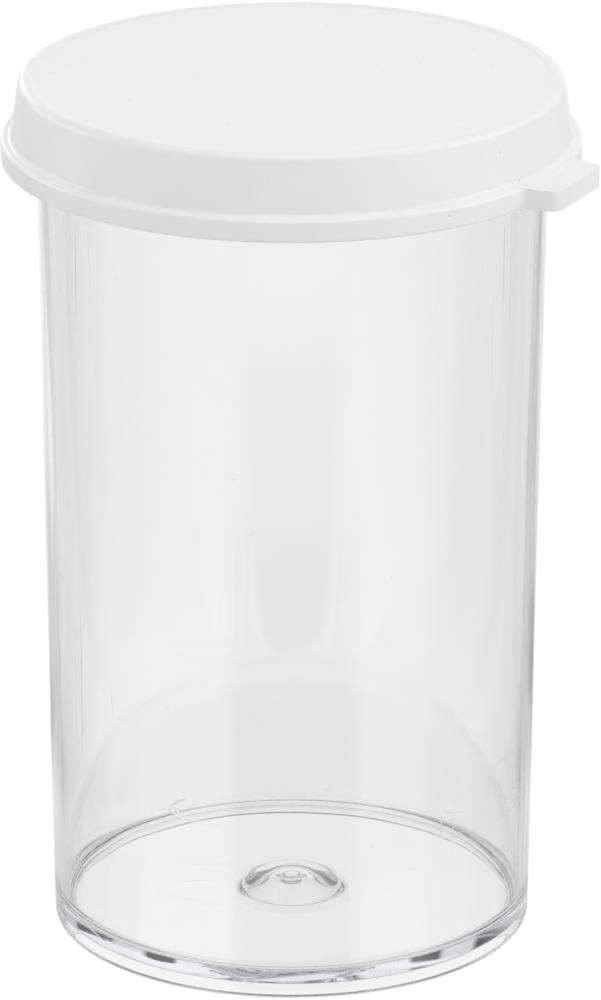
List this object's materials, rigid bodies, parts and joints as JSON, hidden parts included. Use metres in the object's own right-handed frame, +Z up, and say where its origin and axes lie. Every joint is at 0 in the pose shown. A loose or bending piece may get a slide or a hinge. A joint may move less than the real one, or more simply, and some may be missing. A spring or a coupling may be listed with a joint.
{
  "type": "flat-bottomed sample vial with snap cap",
  "caption": "Clear plastic flat-bottomed sample vial with a slight taper, closed by a white push-on cap with a thumb tab.",
  "frame": {"origin": "on the vial's axis, on the plane that the foot ring stands on", "axes": "+Z up along the vial's axis; the cap's thumb tab points midway between +X and -Y"},
  "size_m": [0.0518, 0.0518, 0.08],
  "materials": {
    "clear_polystyrene": "polished, clear and colourless",
    "white_polyethylene": "satin, slightly translucent white"
  },
  "bodies": {
    "vial": {"vial_body": "clear_polystyrene"},
    "cap": {"snap_cap": "white_polyethylene"}
  },
  "joints": [
    {"name": "cap_lift", "type": "slide", "parent": "vial", "child": "cap", "axis": [0, 0, 1], "range_m": [0, 0.04]}
  ]
}
